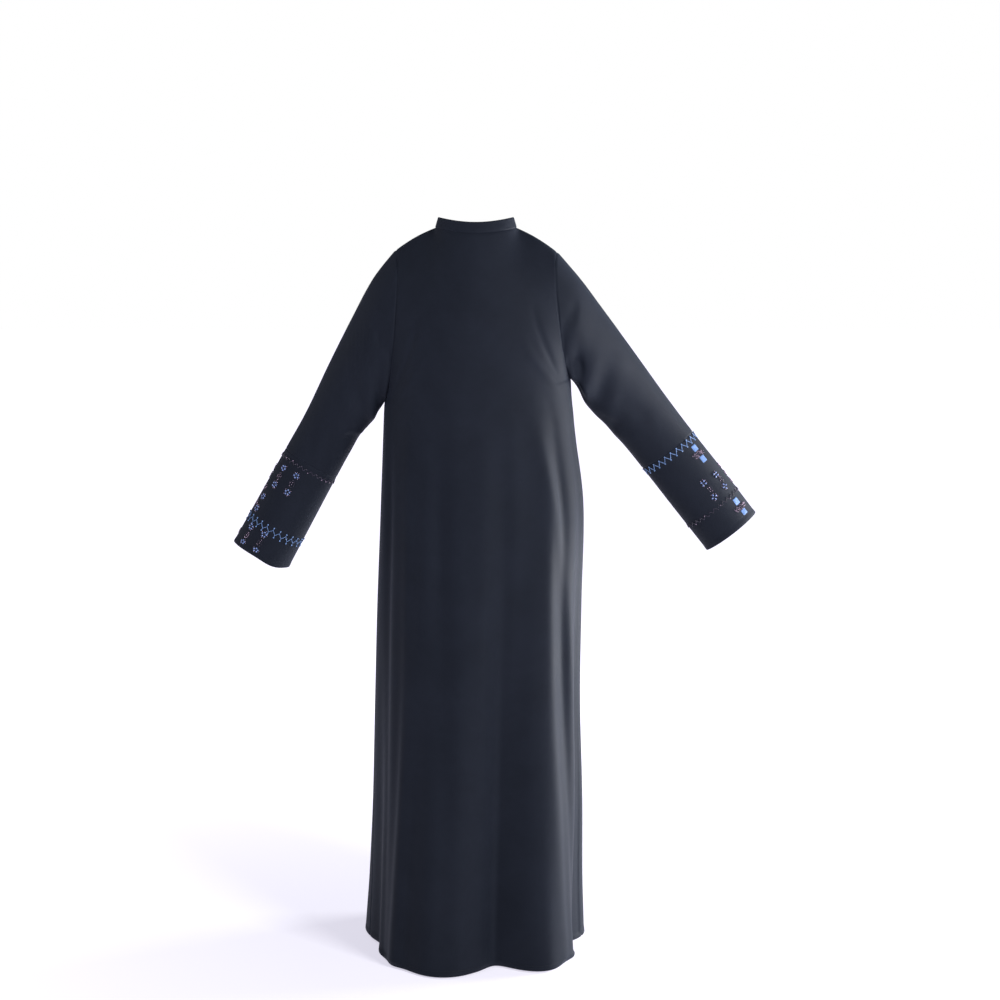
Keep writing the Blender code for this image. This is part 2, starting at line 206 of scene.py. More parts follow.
# Finer creases of the body, from below the armholes to the hem: their angle round the body
# at the top, half way and at the hem, how far they stand out or in, and their half width
BODY_RADIUS = 0.2
CREASE_TOP = -0.34
CREASE_HEM = -1.42
BODY_CREASES = (
    # top_deg, mid_deg, hem_deg, out, half_width
    (-64, -62, -60, -0.005, 0.02),
    (-44, -40, -43, 0.004, 0.018),
    (-22, -16, -14, -0.006, 0.024),
    (4, 4, 2, 0.003, 0.02),
    (20, 18, 14, 0.004, 0.02),
    (38, 42, 50, 0.005, 0.02),
    (50, 56, 66, -0.005, 0.017),
    (34, 64, 74, 0.005, 0.022),
    (70, 82, 90, -0.003, 0.02),
    (102, 106, 111, -0.004, 0.015),
    (117, 119, 124, 0.0024, 0.016),
    (127, 131, 132, 0.0036, 0.012),
    (149, 152, 157, 0.0032, 0.013),
    (166, 167, 167, -0.0026, 0.014),
    (-103, -108, -115, -0.0042, 0.015),
    (-126, -132, -135, 0.0036, 0.012),
    (-152, -156, -161, 0.0032, 0.013),
)

# Creases of the yoke by the armholes, each along a line: where it starts and ends in
# degrees round the body and in height, how far it stands out or in, and its half width
YOKE_CREASES = (
    # start_deg, start_z, end_deg, end_z, out, half_width
    (-74, -0.27, -58, -0.15, -0.0022, 0.014),
    (-66, -0.3, -44, -0.21, 0.0016, 0.016),
    (72, -0.235, 56, -0.12, -0.002, 0.014),
    (64, -0.27, 42, -0.18, 0.0014, 0.016),
    (108, -0.235, 124, -0.12, -0.003, 0.011),
    (-106, -0.27, -122, -0.15, -0.003, 0.011),
    (-30, -0.12, 24, -0.14, 0.0014, 0.014),
)

# Finer creases of the sleeves, each along a line: where it starts and ends along the
# sleeve and in degrees round, how far it stands out or in, and its half width
SLEEVE_LENGTH = 0.74
CREASE_FREE_ARMHOLE = 0.02
SLEEVE_RADIUS = 0.062
SLEEVE_WRINKLES = {
    LEFT: (
        # start_along, start_deg, end_along, end_deg, out, half_width
        (0.01, 120, 0.16, 74, -0.004, 0.012),
        (0.02, 148, 0.2, 112, 0.0036, 0.013),
        (0.05, 160, 0.3, 140, -0.004, 0.012),
        (0.2, 60, 0.26, 96, 0.0009, 0.003),
        (0.22, 54, 0.28, 92, 0.0011, 0.0032),
        (0.245, 50, 0.3, 88, 0.001, 0.003),
        (0.27, 48, 0.325, 84, 0.0012, 0.0034),
        (0.295, 46, 0.35, 82, 0.001, 0.003),
        (0.32, 44, 0.375, 78, 0.0009, 0.003),
        (0.36, 150, 0.6, 128, -0.0028, 0.013),
        (0.44, 168, 0.54, 110, 0.0022, 0.01),
        (0.06, 236, 0.26, 262, -0.0036, 0.014),
        (0.3, 212, 0.44, 262, 0.0024, 0.01),
        (0.48, 216, 0.6, 250, -0.0024, 0.011),
    ),
    RIGHT: (
        # start_along, start_deg, end_along, end_deg, out, half_width
        (0.01, 116, 0.12, 62, -0.0036, 0.012),
        (0.02, 140, 0.2, 118, -0.0048, 0.011),
        (0.03, 158, 0.26, 138, 0.0046, 0.01),
        (0.08, 168, 0.34, 150, -0.004, 0.01),
        (0.26, 96, 0.44, 52, 0.0014, 0.012),
        (0.4, 158, 0.6, 130, -0.0026, 0.013),
        (0.46, 100, 0.62, 84, -0.0016, 0.014),
        (0.06, 236, 0.24, 262, -0.0036, 0.014),
        (0.28, 214, 0.42, 262, 0.0024, 0.01),
        (0.5, 212, 0.6, 246, -0.0024, 0.011),
    ),
}

# Cuff decoration: columns, as lengths from the sleeve's outer edge, and rows, as lengths
# from the cuff's seam
NEAR_COLUMN = 0.039
FAR_COLUMN = 0.0735
EDGE_COLUMN = 0.026
BEAD_WAVE_ROW = {LEFT: 0.014, RIGHT: 0.152}
ZIGZAG_ROW = {LEFT: 0.157, RIGHT: 0.011}
LEFT_FLOWER_ROWS = (0.034, 0.071, 0.1665, 0.205)
LEFT_LEAF_ROWS = (0.0525, 0.186)
LEFT_EDGE_FLOWER_ROWS = (0.104, 0.131)
SQUARE_ROWS = (0.0425, 0.182)
NEAR_CROSS_ROWS = (0.0985, 0.1295)
FAR_CROSS_ROWS = (0.095, 0.1315)
RIGHT_LEAF_ROW = 0.113

# Sizes of the motifs and their beads: radii, half heights, and half length, width and height
ZIGZAG_COUNT = 24
ZIGZAG_STEPS = 4
ZIGZAG_HALF_HEIGHT = {LEFT: 0.0036, RIGHT: 0.0058}
ZIGZAG_STEM = {LEFT: 0.0042, RIGHT: 0.0012}
ZIGZAG_LEAN = {LEFT: 0.0045, RIGHT: 0.0025}
CORD_RADIUS = {LEFT: 0.00056, RIGHT: 0.00065}
CORD_SIDES = 6
KNOB_RADIUS = {LEFT: 0.0016, RIGHT: 0.0015}
WAVE_COUNT = 30
WAVE_BEADS = 8
WAVE_HALF_HEIGHT = 0.0033
WAVE_BEAD_RADIUS = 0.0010
FLOWERS = {
    # kind: petals, their reach, petal bead, radius of the middle bead, reach of the rim, pink share
    "round": (5, 0.0044, (0.0019, 0.0019, 0.0014), 0.0011, 1.62 * 0.0044, 0.45),
    "cross": (4, 0.0046, (0.0024, 0.0016, 0.0014), 0.0012, 0.0072, 0.4),
}
LEAF_BEADS = 15
SQUARE_SIDE = 0.0142
SQUARE_STEP = 0.0143
SQUARE_THREADS = 14
SEED_RADIUS = 0.00085
CLUSTER_SEEDS = 19
CLUSTER_TURN = 2.4
CLUSTER_SPREAD = 0.0016
BEAD_SEAT = 0.8
GIRTH_STEPS = 120

# Stitches of the hems and of the lap
STITCH_SPACING = 0.0034
STITCH_LIFT = 0.0002
STITCH_SIZE = (0.0012, 0.00022, 0.00022)

# Colours, as linear values
CREPE_DARK = (0.0061, 0.0077, 0.0127, 1.0)
CREPE_LIGHT = (0.0088, 0.0109, 0.0176, 1.0)
THREAD_BLACK = (0.010, 0.011, 0.015, 1.0)
CORD_BLUE = (0.150, 0.255, 0.500, 1.0)
SATIN_BLUE = (0.098, 0.205, 0.470, 1.0)
BEAD_LILAC = (0.150, 0.215, 0.440, 1.0)
BEAD_PINK = (0.420, 0.310, 0.430, 1.0)
BEAD_DARK = (0.040, 0.036, 0.060, 1.0)

# Stage: the floor a little below the hem, its glow near the abaya and far from it (measured
# from the origin), the glow of the white surround, the camera behind the wearer, and the
# soft lamps. The floor's glow is painted light: lilac, so that its shadows near the hem show
# lilac, and weaker near the abaya, so that the lamps' shadows show there.
FLOOR_Z = -1.405
FLOOR_HALF = 30
FLOOR_COLOUR = (0.50, 0.50, 0.53, 1.0)
# Painted light: the lilac colour of the floor's glow, which shows as the colour of its shadows
FLOOR_GLOW_TINT = (0.89, 0.86, 1.0, 1.0)
FLOOR_NEAR = 1.45
FLOOR_FAR = 2.4
FLOOR_GLOW_NEAR = 0.68
FLOOR_GLOW_FAR = 1.20
SURROUND = 0.125
SURROUND_COLOUR = (0.92, 0.95, 1.0, 1.0)
LENS = 70.2
CAMERA_PLACE = (0.047, -3.85, 0.0)
CAMERA_DOWN = 7.3636
LAMP_AIM = (0.0, 0.0, -0.6)
LAMPS = (
    # name, place, size, energy, colour
    ("key_by_the_camera", (2.9, -3.4, 1.0), (1.4, 2.2), 232.0, (1.0, 0.99, 0.98)),
    ("rim_from_the_right", (2.7, 0.9, -0.8), (1.2, 1.1), 190.0, (1.0, 1.0, 1.0)),
    ("soft_from_the_upper_left", (-1.6, -1.5, 1.9), (1.2, 1.2), 16.0, (0.97, 0.98, 1.0)),
    ("rim_from_the_left", (-2.9, 0.7, 0.6), (1.2, 1.6), 16.0, (0.97, 0.98, 1.0)),
)


def smooth(t):
    """Ease from 0 to 1."""
    t = min(max(t, 0.0), 1.0)
    return t * t * (3 - 2 * t)


def catmull(a, b, c, d, t):
    """A smooth curve's value between b and c."""
    return b + 0.5 * t * (c - a + t * (2 * a - 5 * b + 4 * c - d + t * (3 * (b - c) + d - a)))


def along_rows(rows, place):
    """A table's row at a fractional place between its rows."""
    i = min(int(place), len(rows) - 2)
    near = [rows[min(max(j, 0), len(rows) - 1)] for j in (i - 1, i, i + 1, i + 2)]
    return [catmull(*values, place - i) for values in zip(*near)]


def body_section(z):
    """The body's half widths and depths at a height."""
    heights = [row[0] for row in SECTIONS]
    z = min(max(z, heights[-1]), heights[0])
    i = next(k for k in range(len(SECTIONS) - 1) if z >= heights[k + 1])
    share = (heights[i] - z) / (heights[i] - heights[i + 1])
    return along_rows(SECTIONS, i + share)[1:]


def angle_off(degrees, centre):
    """The angle from a centre, between -180 and 180."""
    return (degrees - centre + 180) % 360 - 180


def bell(off, half_width):
    """A bell curve of height 1, by the distance from its middle."""
    return math.exp(-((off / half_width) ** 2))


def fold_depth(degrees, z):
    """How far the folds move the cloth out at an angle and a height."""
    total = 0.0
    for start_deg, hem_deg, out, half_deg, start_z, growth in FOLDS:
        down = (start_z - z) / (start_z - HEM_Z)
        if down > 0:
            centre = start_deg + (hem_deg - start_deg) * smooth(down)
            total += out * down**growth * bell(angle_off(degrees, centre), half_deg)
    return total


def body_point(degrees, z):
    """A point of the body's cloth: 0 degrees is the middle of the back, 90 the right."""
    left, right, back, front = body_section(z)
    turn = math.radians(degrees)
    across, deep = math.sin(turn), -math.cos(turn)
    width = right if across > 0 else left
    depth = back if deep < 0 else front
    x = math.copysign(abs(across) ** SECTION_FULLNESS, across) * width
    y = math.copysign(abs(deep) ** SECTION_FULLNESS, deep) * depth
    out = fold_depth(degrees, z)
    return Vector((x + out * across, y + out * deep, z))


def degrees_of(u, front):
    """The angle round the body of a place across a panel, -1 at the left, 1 at the right."""
    return 180 - 90 * u if front else 90 * u


def armpit_z(u):
    """The height of the row that runs from armpit to armpit."""
    left, right = LEFT_LOOPS[0][3], RIGHT_LOOPS[0][3]
    return left + (right - left) * (u + 1) / 2


def hem_height(degrees):
    """The hem's height, a little higher at the sides."""
    return HEM_Z + HEM_SIDE_RISE * math.sin(math.radians(degrees)) ** 2


def top_edge(u, front):
    """The neckline in the middle half of a panel, and a shoulder seam at each side of it."""
    if abs(u) <= 0.5:
        turn = math.radians(180 * u)
        drop = NECK_FRONT_DROP if front else NECK_BACK_DROP
        depth = NECK_FRONT if front else -NECK_BACK
        level = math.cos(turn) ** 2
        return Vector((
            NECK_HALF_WIDTH * math.sin(turn),
            depth * math.cos(turn),
            NECK_SIDE_Z - drop * level,
        ))
    share = (abs(u) - 0.5) / 0.5
    loop = RIGHT_LOOPS[0] if u > 0 else LEFT_LOOPS[0]
    neck = Vector((math.copysign(NECK_HALF_WIDTH, u), 0.0, NECK_SIDE_Z))
    shoulder = Vector((loop[0], 0.0, loop[1]))
    seam = neck.lerp(shoulder, share)
    seam.z += SHOULDER_BOW * math.sin(math.pi * share)
    return seam


def loop_point(loop, turn, side):
    """A point of a sleeve's loop: turn 0 is its top, 90 degrees its back, 180 its bottom."""
    top_x, top_z, low_x, low_z, depth, y, bow = loop
    level = (1 - math.cos(turn)) / 2
    x = top_x + (low_x - top_x) * level - side * bow * abs(math.sin(turn))
    z = top_z + (low_z - top_z) * level
    return Vector((x, y - depth * math.sin(turn), z))


def loop_middle(loop):
    """The middle point of a sleeve's loop."""
    return Vector(((loop[0] + loop[2]) / 2, loop[5], (loop[1] + loop[3]) / 2))


def armhole_point(side, down, front):
    """A point of the armhole seam from the shoulder, 0, to the armpit, 1."""
    turn = math.pi * down
    return loop_point(LOOPS[side][0], 2 * math.pi - turn if front else turn, side)


def shoulder_arc(u, front):
    """A plain arc over the shoulders, which the neckline's shape fades into."""
    shoulder = top_edge(1 if u > 0 else -1, front)
    turn = math.pi * u / 2
    depth = ARC_FRONT if front else -ARC_BACK
    rise = (ARC_Z - shoulder.z) * math.cos(turn) ** 2
    return Vector((shoulder.x * abs(math.sin(turn)), depth * math.cos(turn), shoulder.z + rise))


def level_of(down):
    """How far down the armhole's height a row lies, the rows closer at its ends."""
    return (1 - math.cos(math.pi * down)) / 2


def upper_bulge(level):
    """A bulge of height 1 a third of the way down, flat where it ends at the armpit."""
    return level * (1 - level) ** 2 / (4 / 27)


def armhole_cut(u, down):
    """The place across a panel, drawn in where the armholes cut into it."""
    return u * (1 - ARMHOLE_CUT * math.sin(math.pi * down))


def neck_offset(u, down, front):
    """How far the neckline's shape stands from the plain arc, softer further down."""
    spread = NECK_SOFTEN * math.sqrt(level_of(down))
    total = Vector((0.0, 0.0, 0.0))
    for k, share in enumerate(NECK_SHARES, -NECK_TAPS):
        near = min(max(u + spread * k / NECK_TAPS, -1.0), 1.0)
        total += (top_edge(near, front) - shoulder_arc(armhole_cut(near, down), front)) * share
    return total / sum(NECK_SHARES)


def yoke_section(u, down, front):
    """A point of the yoke before its ends are drawn to the armhole seam."""
    level = level_of(down)
    cut = armhole_cut(u, down)
    arc = shoulder_arc(cut, front)
    body = body_point(degrees_of(cut, front), armpit_z(cut))
    point = arc.lerp(body, level)
    point.y = body.y + (arc.y - body.y) * (1 - level) ** YOKE_EASE
    swell = YOKE_FRONT_SWELL if front else -YOKE_BACK_SWELL
    point.y += swell * upper_bulge(level) * math.cos(math.pi * cut / 2)
    return point + neck_offset(u, down, front) * (1 - level) ** NECK_FADE


def yoke_point(u, down, front):
    """A point between the top edge and the row from armpit to armpit."""
    side = 1 if u > 0 else -1
    point = yoke_section(u, down, front)
    end = yoke_section(side, down, front)
    edge = armhole_point(side, down, front)
    point.x *= edge.x / end.x
    point.y += (edge.y - end.y) * abs(u) ** 3
    point.z += (edge.z - end.z) * abs(u) ** 3
    return point


def panel_point(u, down, share, front):
    """A point of the front or the back: down the yoke, then its share of the skirt."""
    if share <= 0:
        return yoke_point(u, down, front)
    degrees = degrees_of(u, front)
    top = armpit_z(u)
    return body_point(degrees, top + (hem_height(degrees) - top) * share)


def line_crease(here, start, end, out, half_width):
    """Depth at a place of one soft crease that runs from start to end, a little past both."""
    run_a, run_b = end[0] - start[0], end[1] - start[1]
    a, b = here[0] - start[0], here[1] - start[1]
    length = math.hypot(run_a, run_b)
    along = (a * run_a + b * run_b) / length**2
    off = (a * run_b - b * run_a) / length
    if not -0.2 < along < 1.2 or abs(off) > 3 * half_width:
        return 0.0
    ends = smooth((along + 0.2) / 0.4) * smooth((1.2 - along) / 0.4)
    return out * ends * bell(off, half_width)


def on_body(degrees, z):
    """A place on the body in metres round it and up."""
    return math.radians(degrees) * BODY_RADIUS, z


def on_sleeve(along, degrees):
    """A place on a sleeve in metres down it and round it."""
    return along * SLEEVE_LENGTH, math.radians(degrees) * SLEEVE_RADIUS


def body_detail(degrees, z):
    """How far the finer creases move the body's cloth out."""
    total = 0.0
    down = (CREASE_TOP - z) / (CREASE_TOP - CREASE_HEM)
    fade = smooth((down + 0.1) / 0.3)
    for top_deg, mid_deg, hem_deg, out, half_width in BODY_CREASES:
        centre = top_deg * (1 - down) * (1 - 2 * down) + mid_deg * 4 * down * (1 - down)
        centre += hem_deg * down * (2 * down - 1)
        off = math.radians(angle_off(degrees, centre)) * BODY_RADIUS
        total += fade * out * bell(off, half_width)
    here = on_body(angle_off(degrees, 0), z)
    for start_deg, start_z, end_deg, end_z, out, half_width in YOKE_CREASES:
        start, end = on_body(start_deg, start_z), on_body(end_deg, end_z)
        total += line_crease(here, start, end, out, half_width)
    return total


def sleeve_detail(side, along, degrees):
    """How far a sleeve's broad creases and then its finer ones move its cloth out."""
    total = 0.0
    for centre, round_deg, out, half_along, half_deg in SLEEVE_CREASES:
        off = angle_off(degrees, round_deg)
        total += out * bell(along - centre, half_along) * bell(off, half_deg)
    here, fade = on_sleeve(along, degrees), smooth(along / CREASE_FREE_ARMHOLE)
    for start_along, start_deg, end_along, end_deg, out, half_width in SLEEVE_WRINKLES[side]:
        start, end = on_sleeve(start_along, start_deg), on_sleeve(end_along, end_deg)
        total += fade * line_crease(here, start, end, out, half_width)
    return total


def cuff_run(side):
    """The direction of a cuff from its seam to its hem."""
    first, last = LOOPS[side][SEAM_LOOP[side]], LOOPS[side][-1]
    run = Vector((last[0] - first[0], last[5] - first[5], last[1] - first[1]))
    return run.normalized()


def sleeve_point(side, place, turn):
    """A point of a sleeve at a place down its table of loops, with all its creases."""
    last = len(LOOPS[side]) - 1
    loop = along_rows(LOOPS[side], place)
    centre = loop_middle(loop)
    point = loop_point(loop, turn, side)
    cuff_share = (place - SEAM_LOOP[side]) / (last - SEAM_LOOP[side])
    flatter = abs(math.sin(turn)) ** (CUFF_EDGE * smooth(cuff_share))
    point.y = centre.y + (point.y - centre.y) * flatter
    degrees = math.degrees(turn) % 360
    away = (point - centre).normalized()
    dip_deg, dip, half_deg = HEM_DIP[side]
    lower = dip * bell(degrees - dip_deg, half_deg) - HEM_DRAWN_UP[side] * (centre.y - point.y)
    run = cuff_run(side) * (lower * smooth(2 * cuff_share - 1))
    return point + away * sleeve_detail(side, place / last, degrees) + run


def places_between(first, last, count, length, first_lines, last_lines):
    """Even places from first to last, and the extra lines near each end."""
    per_metre = (last - first) / length
    places = [first + (last - first) * i / count for i in range(count + 1)]
    places += [first + line * per_metre for line in first_lines]
    places += [last - line * per_metre for line in last_lines]
    kept = []
    for place in sorted(places):
        if not kept or place - kept[-1] > 0.0003 * per_metre:
            kept.append(place)
    kept[-1] = last
    return kept


def eased(grid, places):
    """The grid with its columns running smoothly on past the armpits."""
    first = round(EASED_FROM * ARMHOLE_ROWS)
    last = ARMHOLE_ROWS + EASED_TO
    for j, u in enumerate(places):
        share = 1 - abs(u) ** 8
        above, start, end, below = (grid[i][j].copy() for i in (first - 1, first, last, last + 1))
        run = start.z - end.z
        lead_in = (start - above) * (run / (above.z - start.z))
        lead_out = (below - end) * (run / (end.z - below.z))
        for i in range(first + 1, last):
            t = (start.z - grid[i][j].z) / run
            curve = start * (2 * t**3 - 3 * t**2 + 1) + end * (3 * t**2 - 2 * t**3)
            curve += lead_in * (t**3 - 2 * t**2 + t) + lead_out * (t**3 - t**2)
            grid[i][j].x += (curve.x - grid[i][j].x) * share
            grid[i][j].y += (curve.y - grid[i][j].y) * share
    return grid


def panel_grid(places, front):
    """A panel as a grid of points, from left to right and from top to hem."""
    skirt = places_between(0, 1, SKIRT_ROWS, SKIRT_LENGTH, (), HEM_LINES)[1:]
    rows = [(i / ARMHOLE_ROWS, 0) for i in range(ARMHOLE_ROWS + 1)] + [(1, s) for s in skirt]
    grid = [[panel_point(u, down, share, front) for u in places] for down, share in rows]
    return eased(grid, places)


def sleeve_rings(side, places):
    """Rings of points of a sleeve, each closed on its first point."""
    columns = 2 * ARMHOLE_ROWS
    rings = []
    for place in places:
        ring = [sleeve_point(side, place, 2 * math.pi * j / columns) for j in range(columns)]
        rings.append(ring + [ring[0]])
    if places[0] == 0:
        edge = [armhole_point(side, j / ARMHOLE_ROWS, False) for j in range(ARMHOLE_ROWS + 1)]
        far = [armhole_point(side, j / ARMHOLE_ROWS, True) for j in range(ARMHOLE_ROWS)]
        rings[0] = edge + far[:0:-1] + [edge[0]]
    return rings


def key_of(point):
    """The same key for two pieces' points on one seam."""
    return tuple(round(c, 5) for c in point)


def face_normals(grids):
    """The summed face normals at the points of grids that run on into each other."""
    total = {}
    for grid, flip in grids:
        for top, low in zip(grid, grid[1:]):
            for a, b, c, d in zip(top, top[1:], low[1:], low):
                normal = (c - a).cross(b - d) * flip
                for corner in (a, b, c, d):
                    total.setdefault(key_of(corner), Vector((0, 0, 0)))
                    total[key_of(corner)] += normal
    return {key: normal.normalized() for key, normal in total.items()}


def grid_normals(groups):
    """Each grid's normals. Where the body meets a sleeve, they share the middle one."""
    total = {}
    for grids in groups:
        for key, normal in face_normals(grids).items():
            total[key] = total.get(key, Vector((0, 0, 0))) + normal
    return [
        [[total[key_of(point)].normalized() for point in row] for row in grid]
        for grids in groups
        for grid, _ in grids
    ]


def running_lengths(lines):
    """The length along each line of points, from its first point."""
    measured = []
    for line in lines:
        lengths = [0.0]
        for a, b in zip(line, line[1:]):
            lengths.append(lengths[-1] + (b - a).length)
        measured.append(lengths)
    return measured


def edge_shape(distance, kind):
    """How far the cloth near an edge moves out, at a distance from that edge."""
    if kind == "seam":
        return -SEAM_SINK * (1 - smooth(distance / SEAM_REACH))
    if kind == "flat seam":
        return -FLAT_SEAM_SINK * (1 - smooth(distance / FLAT_SEAM_REACH))
    step = HEM_STEP * (1 - smooth((distance - HEM_STITCH) / (HEM_DEPTH - HEM_STITCH)))
    stitch = -STITCH_SINK * bell(distance - HEM_STITCH, STITCH_REACH)
    fold = -HEM_FOLD_SINK * (1 - smooth(distance / HEM_FOLD_REACH))
    return step + stitch + fold


def shaped(grid, normals, edges, detail):
    """The grid with its edges shaped and its finer creases, and its flat cloth measure."""
    across = running_lengths(grid)
    down = list(zip(*running_lengths(zip(*grid))))
    middle = len(grid[0]) // 2
    points, flat = [], []
    for i, row in enumerate(grid):
        line, places = [], []
        for j, point in enumerate(row):
            distances = {
                "left": across[i][j],
                "right": across[i][-1] - across[i][j],
                "top": down[i][j],
                "bottom": down[-1][j] - down[i][j],
            }
            out = sum(edge_shape(distances[edge], kind) for edge, kind in edges.items())
            near = min([distances[edge] for edge in edges], default=1.0)
            out += detail(i, j) * smooth(near / CREASE_FREE_EDGE)
            line.append(point + normals[i][j] * out)
            places.append((across[i][j] - across[i][middle], -down[i][j]))
        points.append(line)
        flat.append(places)
    return points, flat


def cloth_piece(name, points, flat, facing, closed_round=False, thickness=CLOTH):
    """One thin shell of cloth through a grid of points, with its flat measure as its UVs."""
    columns = len(points[0])
    outside = [point for row in points for point in row]
    measure = [place for row in flat for place in row]
    shape = bmesh.new()
    place = shape.verts.layers.int.new("place")
    cloth = shape.loops.layers.uv.new("cloth")
    made = bmesh.ops.create_grid(
        shape, x_segments=columns - 1, y_segments=len(points) - 1, size=1
    )
    for i, vert in enumerate(made["verts"]):
        vert[place] = i
        vert.co = outside[i]
    for face in shape.faces:
        for loop in face.loops:
            loop[cloth].uv = measure[loop.vert[place]]
    if closed_round:
        bmesh.ops.remove_doubles(shape, verts=shape.verts[:], dist=1e-6)
    bmesh.ops.recalc_face_normals(shape, faces=shape.faces[:])
    shape.normal_update()
    shape.verts.ensure_lookup_table()
    middle = shape.verts[len(shape.verts) // 2]
    if middle.normal.dot(facing(middle.co)) < 0:
        bmesh.ops.reverse_faces(shape, faces=shape.faces[:])
    shape.verts.layers.int.remove(place)
    piece = object_from(name, shape)
    wall = piece.modifiers.new("wall", "SOLIDIFY")
    wall.thickness = thickness
    wall.offset = -1
    wall.use_even_offset = False
    wall.use_rim = True
    return piece


def new_object(name, data):
    """A new object in the scene."""
    thing = bpy.data.objects.new(name, data)
    bpy.context.scene.collection.objects.link(thing)
    return thing


def object_from(name, shape):
    """A new object, smooth shaded, from a finished bmesh."""
    mesh = bpy.data.meshes.new(name)
    shape.to_mesh(mesh)
    shape.free()
    mesh.shade_smooth()
    return new_object(name, mesh)


def from_body_middle(point):
    """The direction away from the middle of the body."""
    return Vector((point.x, point.y, 0.0))


def from_sleeve_middle(side):
    """The direction away from the middle line of a sleeve, as a function of the point."""
    places = [k / 10 for k in range(10 * len(LOOPS[side]) - 10)]
    centres = [loop_middle(along_rows(LOOPS[side], place)) for place in places]
    return lambda point: point - min(centres, key=lambda centre: (centre - point).length)


def lap_lift(u):
    """How far the right front stands out where it laps over the left one."""
    return LAP_LIFT * (1 - smooth((u - LAP_HALF) / LAP_FADE))


def line_inside(points, normals, inset):
    """A line of points and ways out down a panel, a set distance in from its left edge."""
    line = []
    for row, facing, lengths in zip(points, normals, running_lengths(points)):
        j = next(k for k in range(len(lengths) - 1) if lengths[k + 1] > inset)
        share = (inset - lengths[j]) / (lengths[j + 1] - lengths[j])
        line.append((row[j].lerp(row[j + 1], share), facing[j]))
    return line


def build_panels(panels, grids, normals):
    """The back and both fronts, by name, and the line of the lap's stitches."""
    pieces, lap_line = {}, []
    for (name, places, front, left, right), grid, facing in zip(panels, grids, normals):
        def detail(i, j):
            """The finer creases at a point of this panel."""
            return body_detail(degrees_of(places[j], front), grid[i][j].z)
        lifts = [lap_lift(u) if name == "front_right" else 0.0 for u in places]
        lifted = [
            [point + normal * lift for point, normal, lift in zip(*rows, lifts)]
            for rows in zip(grid, facing)
        ]
        edges = {"left": left, "right": right, "top": "seam", "bottom": "hem"}
        points, flat = shaped(lifted, facing, edges, detail)
        pieces[name] = cloth_piece(name + "_cloth", points, flat, from_body_middle)
        if name == "front_right":
            lap_line = line_inside(points, facing, HEM_STITCH)
    return pieces, lap_line


def build_body_and_sleeves():
    """The back, both fronts, both sleeves and both cuffs, by name, and the lap's stitch line."""
    half, opening = PANEL_COLUMNS // 2 + 4, HEM_LINES[:3]
    panels = (
        # name, places across, whether it is at the front, its left edge, its right edge
        ("back", places_between(-1, 1, PANEL_COLUMNS, BACK_WIDTH, EDGE_LINES, EDGE_LINES),
         False, "seam", "seam"),
        ("front_left", places_between(-1, LAP_HALF, half, FRONT_WIDTH, EDGE_LINES, opening),
         True, "seam", "hem"),
        ("front_right", places_between(-LAP_HALF, 1, half, FRONT_WIDTH, opening, EDGE_LINES),
         True, "hem", "seam"),
    )
    grids = [panel_grid(places, front) for _, places, front, _, _ in panels]
    tubes = {}
    for side, word in ((LEFT, "left"), (RIGHT, "right")):
        seam, last = SEAM_LOOP[side], len(LOOPS[side]) - 1
        upper = places_between(0, seam, SLEEVE_ROWS, UPPER_SLEEVE_LENGTH, EDGE_LINES, EDGE_LINES)
        lower = places_between(seam, last, CUFF_ROWS, CUFF_LENGTH, EDGE_LINES, HEM_LINES)
        tubes["sleeve_" + word] = (side, sleeve_rings(side, upper), "seam", "flat seam")
        tubes["cuff_" + word] = (side, sleeve_rings(side, lower), "flat seam", "hem")

    # The body's grids run on into each other, and so do each sleeve's and its cuff's
    groups = [list(zip(grids, (1, -1, -1)))]
    groups += [
        [(rings, -side) for tube_side, rings, _, _ in tubes.values() if tube_side == side]
        for side in (LEFT, RIGHT)
    ]
    normals = grid_normals(groups)
    pieces, lap_line = build_panels(panels, grids, normals)
    for (name, (side, rings, top, bottom)), facing in zip(tubes.items(), normals[len(panels):]):
        edges = {"top": top, "bottom": bottom}
        points, flat = shaped(rings, facing, edges, lambda i, j: 0.0)
        away = from_sleeve_middle(side)
        pieces[name] = cloth_piece(name + "_cloth", points, flat, away, closed_round=True)
    return pieces, lap_line


def build_neckband():
    """The low band that stands on the neckline and meets at the middle of the front."""
    grid = []
    for level in NECKBAND_LEVELS:
        row = []
        for i in range(NECKBAND_COLUMNS + 1):
            turn = (2 * i / NECKBAND_COLUMNS - 1) * (1 - NECKBAND_OPEN)
            at_back = abs(turn) <= 0.5
            u = turn if at_back else math.copysign(1 - abs(turn), turn)
            over_lap = 0.0 if at_back else lap_lift(u if u > 0 else -u - LAP_HALF)
            base = top_edge(u, not at_back) + Vector((0, 0, over_lap))
            away = Vector((base.x, base.y, 0)).normalized()
            rise = Vector((0, 0, 1)) - away * NECKBAND_LEAN
            rounding = -NECKBAND_ROUNDING * (1 - smooth((1 - level) / 0.10))
            seam = -SEAM_SINK * (1 - smooth((level - NECKBAND_LEVELS[-1]) / 0.20))
            row.append(base + rise * level * NECKBAND_HEIGHT + away * (rounding + seam))
        grid.append(row)
    flat = [
        [(length, level * NECKBAND_HEIGHT) for length in lengths]
        for level, lengths in zip(NECKBAND_LEVELS, running_lengths(grid))
    ]
    return cloth_piece(
        "neckband_cloth", grid, flat, from_body_middle, thickness=NECKBAND_CLOTH
    )


